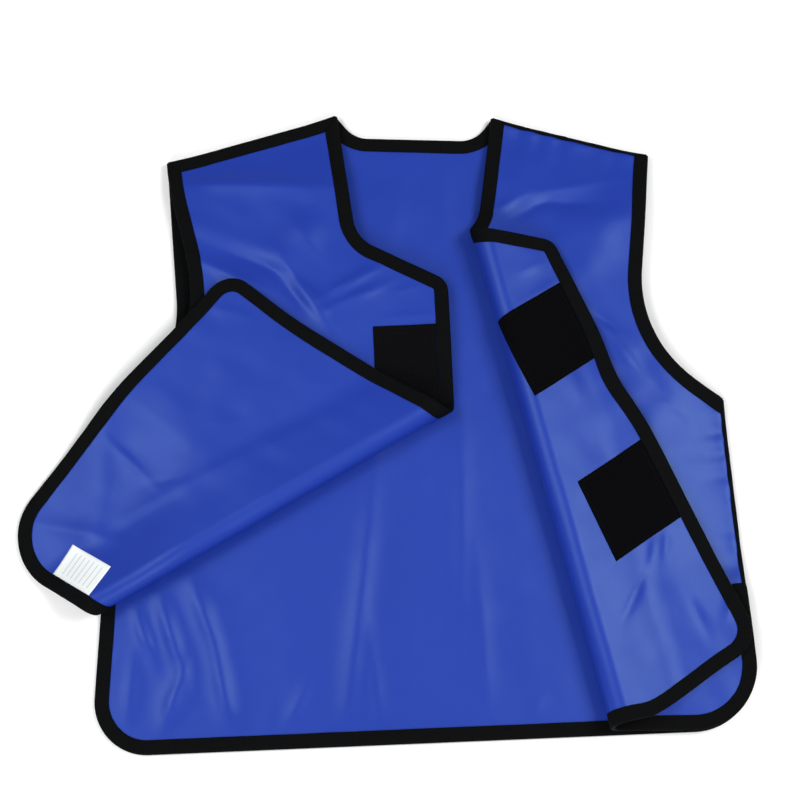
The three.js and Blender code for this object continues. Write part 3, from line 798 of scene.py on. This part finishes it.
def patch_object(name, shape, rib):
    _, _, face, _, height, width, _, thick = PATCHES[name]
    start, along, inward = patch_frame(name)
    nu, nv = int(width / PATCH_CELL[0]), int(height / PATCH_CELL[1])
    u = np.linspace(0, width, nu + 1)
    v = np.linspace(0, height, nv + 1)
    uu, vv = np.meshgrid(u, v)
    points = (start + uu[..., None] * inward + vv[..., None] * along).reshape(-1, 2)
    border = np.minimum(np.minimum(uu, width - uu), np.minimum(vv, height - vv)).ravel()
    fat = thick * (0.45 + 0.55 * smooth(border, 0, 1.8))
    if thick > 1:
        fat = fat - 0.4 * np.exp(-(((border - PATCH_STITCH_IN) / 0.7) ** 2))
        fat = fat + smooth(border, 3.6, 5) * rib * np.sin(uu.ravel() * 2 * math.pi / RIB_PITCH)
    ids = np.arange(len(points)).reshape(nv + 1, nu + 1)
    a, b, c, d = ids[:-1, :-1], ids[:-1, 1:], ids[1:, 1:], ids[1:, :-1]
    faces = np.concatenate([
        np.stack([a, b, c], -1).reshape(-1, 3), np.stack([a, c, d], -1).reshape(-1, 3)])
    near, far = PATCH_SEAT * face * np.ones(len(points)), (PATCH_SEAT + fat) * face
    flat = np.stack([uu.ravel(), vv.ravel()], -1)
    low, high = np.minimum(near, far), np.maximum(near, far)
    obj = sheet_object(name, shape, points, faces, low, high, flat)
    inset = PATCH_STITCH_IN if thick > 1 else LABEL_STITCH_IN
    depth = PATCH_SEAT + thick * (0.78 if thick > 1 else 1.0)
    right, top = width - inset, height - inset
    corners = [(inset, inset), (right, inset), (right, top), (inset, top)]
    lines = []
    for (u0, v0), (u1, v1) in zip(corners, corners[1:] + corners[:1]):
        length = math.hypot(u1 - u0, v1 - v0)
        at_s = np.arange(STITCH_PITCH / 2, length - STITCH_PITCH / 2, STITCH_PITCH)

        def pattern(s, u0=u0, v0=v0, u1=u1, v1=v1, length=length):
            share = (s / length)[:, None]
            place = vec(u0, v0) + (vec(u1, v1) - vec(u0, v0)) * share
            return start + place[:, :1] * inward + place[:, 1:] * along

        lines.append(stitch_line(shape, at_s, face, depth, pattern))
    return obj, stitch_rows(lines, f"{name}_stitches")


# Materials


def new_material(name, color, rough, **sockets):
    mat = bpy.data.materials.new(name)
    mat.use_nodes = True
    tree = mat.node_tree
    bsdf = tree.nodes["Principled BSDF"]
    bsdf.inputs["Base Color"].default_value = (*color, 1)
    bsdf.inputs["Roughness"].default_value = rough
    for key, value in sockets.items():
        bsdf.inputs[key.replace("_", " ")].default_value = value
    return mat, tree, bsdf


def node(tree, kind, inputs=None, **props):
    made = tree.nodes.new(kind)
    for key, value in props.items():
        setattr(made, key, value)
    for key, value in (inputs or {}).items():
        if isinstance(value, bpy.types.NodeSocket):
            tree.links.new(value, made.inputs[key])
        else:
            made.inputs[key].default_value = value
    return made


def math_node(tree, operation, *values):
    return node(tree, "ShaderNodeMath", dict(enumerate(values)), operation=operation).outputs[0]


def weave(tree, pitch, twist=0.0):
    """A plain weave by the pattern's own coordinates: threads across and along, and over and under."""
    uv = node(tree, "ShaderNodeUVMap", uv_map="pattern").outputs["UV"]
    split = node(tree, "ShaderNodeSeparateXYZ", {"Vector": uv})
    k = 2 * math.pi / pitch
    x = math_node(tree, "MULTIPLY", split.outputs["X"], k)
    y = math_node(tree, "MULTIPLY", split.outputs["Y"], k)
    if twist:
        x = math_node(tree, "ADD", x, math_node(tree, "MULTIPLY", y, twist))
    return math_node(tree, "MULTIPLY", math_node(tree, "SINE", x), math_node(tree, "SINE", y)), uv


def blend_color(tree, factor, a, b):
    return node(tree, "ShaderNodeMix", {0: factor, 6: (*a, 1), 7: (*b, 1)}, data_type="RGBA").outputs[2]


def spread_range(tree, value, low, high):
    made = node(tree, "ShaderNodeMapRange", {"Value": value, "To Min": low, "To Max": high})
    return made.outputs[0]


def noise(tree, uv, scale, detail, **inputs):
    return node(tree, "ShaderNodeTexNoise", {"Vector": uv, "Scale": scale, "Detail": detail, **inputs})


def color_and_bump(tree, bsdf, color, height, strength, distance):
    tree.links.new(color, bsdf.inputs["Base Color"])
    bump = node(tree, "ShaderNodeBump", {"Height": height, "Strength": strength, "Distance": distance})
    tree.links.new(bump.outputs[0], bsdf.inputs["Normal"])


def cloth_material():
    mat, tree, bsdf = new_material(
        "blue_nylon", (0.0135, 0.045, 0.375), 0.42, Specular_IOR_Level=0.36,
        Specular_Tint=(0.62, 0.92, 1, 1))
    threads, uv = weave(tree, 0.00085)
    wide = noise(tree, uv, 9.0, 4.0, Roughness=0.55).outputs["Fac"]
    small = noise(tree, uv, 90.0, 5.0, Roughness=0.6).outputs["Fac"]
    color = blend_color(tree, wide, (0.0095, 0.0315, 0.305), (0.012, 0.0378, 0.348))
    spread = spread_range(tree, wide, 0.34, 0.44)
    rough = math_node(tree, "ADD", spread, spread_range(tree, small, -0.03, 0.03))
    tree.links.new(rough, bsdf.inputs["Roughness"])
    height = math_node(tree, "ADD", math_node(tree, "MULTIPLY", threads, 0.25), small)
    color_and_bump(tree, bsdf, color, height, 0.18, 0.0004)
    return mat


def tape_material():
    mat, tree, bsdf = new_material(
        "black_tape", (0.002, 0.0022, 0.0025), 0.8, Specular_IOR_Level=0.06)
    threads, uv = weave(tree, 0.0016, 1.0)
    small = noise(tree, uv, 260.0, 4.0, Roughness=0.6).outputs["Fac"]
    color = blend_color(tree, small, (0.0012, 0.0013, 0.0016), (0.0035, 0.0038, 0.0042))
    color_and_bump(tree, bsdf, color, math_node(tree, "ADD", threads, small), 0.5, 0.0003)
    return mat


def fastener_material(name, dark, light, scale):
    mat, tree, bsdf = new_material(name, dark, 0.9, Specular_IOR_Level=0.04)
    uv = node(tree, "ShaderNodeUVMap", uv_map="pattern").outputs["UV"]
    cells = node(tree, "ShaderNodeTexVoronoi", {"Vector": uv, "Scale": scale})
    fuzz = noise(tree, uv, scale * 0.6, 6.0, Roughness=0.7).outputs["Fac"]
    height = math_node(tree, "SUBTRACT", fuzz, cells.outputs["Distance"])
    color_and_bump(tree, bsdf, blend_color(tree, fuzz, dark, light), height, 0.8, 0.0006)
    return mat


def label_material():
    """White satin with faint ruled lines, the same on every label, and no words."""
    mat, tree, bsdf = new_material(
        "white_satin", (0.84, 0.88, 0.88), 0.45, Sheen_Weight=0.2, Sheen_Roughness=0.4)
    uv = node(tree, "ShaderNodeUVMap", uv_map="pattern").outputs["UV"]
    split = node(tree, "ShaderNodeSeparateXYZ", {"Vector": uv})
    x, y = split.outputs["X"], split.outputs["Y"]
    rows = math_node(tree, "SINE", math_node(tree, "MULTIPLY", y, 2 * math.pi / 0.0052))
    thin = math_node(tree, "GREATER_THAN", rows, 0.9)
    inside = math_node(tree, "COMPARE", x, LABEL_WIDTH * 0.5 * MM, LABEL_WIDTH * 0.36 * MM)
    length = math_node(tree, "COMPARE", y, LABEL_HEIGHT * 0.5 * MM, LABEL_HEIGHT * 0.4 * MM)
    ruled = math_node(tree, "MULTIPLY", thin, math_node(tree, "MULTIPLY", inside, length))
    color = blend_color(tree, ruled, (0.84, 0.88, 0.88), (0.5, 0.53, 0.55))
    color_and_bump(tree, bsdf, color, noise(tree, uv, 500.0, 3.0).outputs["Fac"], 0.3, 0.0002)
    return mat


def dress(obj, mat, slot, *nodes):
    obj.data.materials.clear()
    obj.data.materials.append(mat)
    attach(obj, "root")
    if nodes:
        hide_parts(*nodes)
    return obj


def polygon_area(ring):
    x, y = ring[:, 0], ring[:, 1]
    return abs(np.sum(x * np.roll(y, -1) - np.roll(x, -1) * y)) / 2


def declare_sheet(ring):
    polygon_area(ring) * MM * MM


CLOTH, TAPE_LOOK = cloth_material(), tape_material()
HOOKS = fastener_material("hook_tape", (0.001, 0.001, 0.0014), (0.0026, 0.0026, 0.0034), 1100.0)
LOOPS = fastener_material("loop_tape", (0.0014, 0.0014, 0.002), (0.005, 0.005, 0.006), 900.0)
THREAD = new_material("black_thread", (0.0035, 0.0035, 0.004), 0.7, Specular_IOR_Level=0.08)[0]
SATIN = label_material()
WHITE_THREAD = new_material("white_thread", (0.8, 0.82, 0.82), 0.5)[0]


def add_tape(name, run, upper, lower=None, run_below=None):
    cloth = tape_object(name + "_cloth", run, upper, lower, run_below)
    stitches = tape_stitches(name + "_stitches", run, upper, lower, run_below)
    return [dress(cloth, TAPE_LOOK, "black_tape", name), dress(stitches, THREAD, "black_tape")]


def joined(runs):
    ring = np.concatenate([run.p[:-1] for run in runs])
    keep = np.linalg.norm(ring - np.roll(ring, 1, axis=0), axis=1) > 0.05
    return ring[keep]


def find_run(runs, start, end):
    return next(run for run in runs if (run.start, run.end) == (start, end))


class Mirrored(Shape):
    """The back, seen from a front's own side."""

    def __init__(self, shape, side):
        self.shape, self.side, self.up = shape, side, side

    def lay(self, p):
        return self.shape.lay(p * vec(self.side, 1))


def own_side(run, side):
    """A back run turned round to run with the front's, in own-side lengths."""
    if side > 0:
        return run
    twin = Run.__new__(Run)
    twin.p, twin.n = run.p[::-1] * vec(side, 1), run.n[::-1] * vec(side, 1)
    twin.width, twin.length = run.width, run.length
    twin.s = run.length - run.s[::-1]
    twin.skew = [-run.skew[1], -run.skew[0]]
    return twin


back_runs = runs_of(back_corners(), {})
back_ring = joined(back_runs)
back = BackShape(back_ring[::OUTLINE_SKIP])
points, triangles = flat_mesh(back_ring, None, BACK_SPAN)
panel = dress(
    sheet_object("back_panel_cloth", back, points, triangles, -PANEL / 2, PANEL / 2),
    CLOTH, "blue_cloth", "back_panel")
trims = add_tape("back_neck_binding", find_run(back_runs, "left neck", "right neck"), back)
trims += add_tape("back_hem_binding", find_run(back_runs, "right vent", "left vent"), back)
trims += add_tape("right_back_armhole_binding", find_run(back_runs, "right tip", "right armpit"), back)
trims += add_tape("left_back_armhole_binding", find_run(back_runs, "left armpit", "left tip"), back)
declare_sheet(back_ring)

for name, front in FRONTS.items():
    side = front["side"]
    shape = FrontShape(name)
    seams = {("tip", "neck"): front["seam"], ("vent", "armpit"): front["seam"]}
    runs = runs_of(front_corners(name), seams)
    ring = joined(runs)
    points, triangles = flat_mesh(ring, shape.fold, SPAN)
    panel = dress(
        sheet_object(f"{name}_front_panel_cloth", shape, points, triangles, -PANEL / 2, PANEL / 2),
        CLOTH, "blue_cloth", f"{name}_front_panel")
    trims = add_tape(f"{name}_front_edge_binding", find_run(runs, "neck", "vent"), shape)
    trims += add_tape(f"{name}_front_armhole_binding", find_run(runs, "armpit", "tip"), shape)
    below = Mirrored(back, side)
    for label, start, end in (("shoulder", "tip", "neck"), ("side", "vent", "armpit")):
        run = find_run(runs, start, end)
        pair = (f"{name} {start}", f"{name} {end}")
        twin = find_run(back_runs, *(pair if side > 0 else pair[::-1]))
        trims += add_tape(f"{name}_{label}_tape", run, shape, below, own_side(twin, side))
    for patch, spec in PATCHES.items():
        if spec[0] != name:
            continue
        look = {"care_label": SATIN, "loop_patch": LOOPS}.get(patch, HOOKS)
        thread = WHITE_THREAD if patch == "care_label" else THREAD
        slot = "white_label" if patch == "care_label" else "hook_and_loop"
        rib = 0.2 if patch == "loop_patch" else 0.1
        cloth, stitches = patch_object(patch, shape, rib)
        cloth.name = patch + "_cloth"
        trims += [dress(cloth, look, slot, patch), dress(stitches, thread, slot)]
    declare_sheet(ring)

# Floor, light and camera
SCENE = bpy.context.scene

FLOOR = 6.0
FLOOR_LEVEL = -0.0006
floor_mesh = bpy.data.meshes.new("floor")
corners = [(x * FLOOR, y * FLOOR, FLOOR_LEVEL) for x, y in ((-1, -1), (1, -1), (1, 1), (-1, 1))]
floor_mesh.from_pydata(corners, [], [(0, 1, 2, 3)])
floor = bpy.data.objects.new("floor", floor_mesh)
SCENE.collection.objects.link(floor)
pale = new_material("pale_floor", (0.97, 0.97, 0.97), 0.9, Specular_IOR_Level=0.1)[0]
floor_mesh.materials.append(pale)

world = bpy.data.worlds.new("studio")
SCENE.world = world
world.use_nodes = True
world.node_tree.nodes["Background"].inputs["Color"].default_value = (1, 1, 1, 1)
world.node_tree.nodes["Background"].inputs["Strength"].default_value = 0.33
SCENE.view_settings.view_transform = "Standard"
SCENE.view_settings.look = "None"


def softbox(name, place, target, size, watts):
    light = bpy.data.lights.new(name, "AREA")
    light.shape = "RECTANGLE"
    light.size = light.size_y = size
    light.energy = watts
    obj = bpy.data.objects.new(name, light)
    obj.location = place
    obj.rotation_mode = "QUATERNION"
    obj.rotation_quaternion = (Vector(target) - Vector(place)).to_track_quat("-Z", "Y")
    SCENE.collection.objects.link(obj)


# Softboxes: place, the point each one faces, size in metres and power in watts
SOFTBOXES = {
    "key": ((1.15, 0.15, 1.75), (0, 0, 0), 0.8, 24),
    "side": ((-1.15, 0.1, 1.7), (0, 0, 0), 0.8, 15),
    "fill": ((-0.3, -1.9, 1.4), (0, 0.1, 0), 1.0, 24),
}
for name, values in SOFTBOXES.items():
    softbox(name, *values)

ELEVATION = math.radians(78)
AZIMUTH = math.radians(-1.7)
DISTANCE = 1.6
TARGET = Vector((-0.018, 0.033, 0))
back_way = Vector((
    math.sin(AZIMUTH) * math.cos(ELEVATION),
    -math.cos(AZIMUTH) * math.cos(ELEVATION),
    math.sin(ELEVATION)))
camera_data = bpy.data.cameras.new("camera")
camera_data.lens = 75.4
camera_data.sensor_width = 36
camera = bpy.data.objects.new("camera", camera_data)
camera.location = TARGET + back_way * DISTANCE
camera.rotation_mode = "QUATERNION"
camera.rotation_quaternion = (-back_way).to_track_quat("-Z", "Y")
SCENE.collection.objects.link(camera)
SCENE.camera = camera
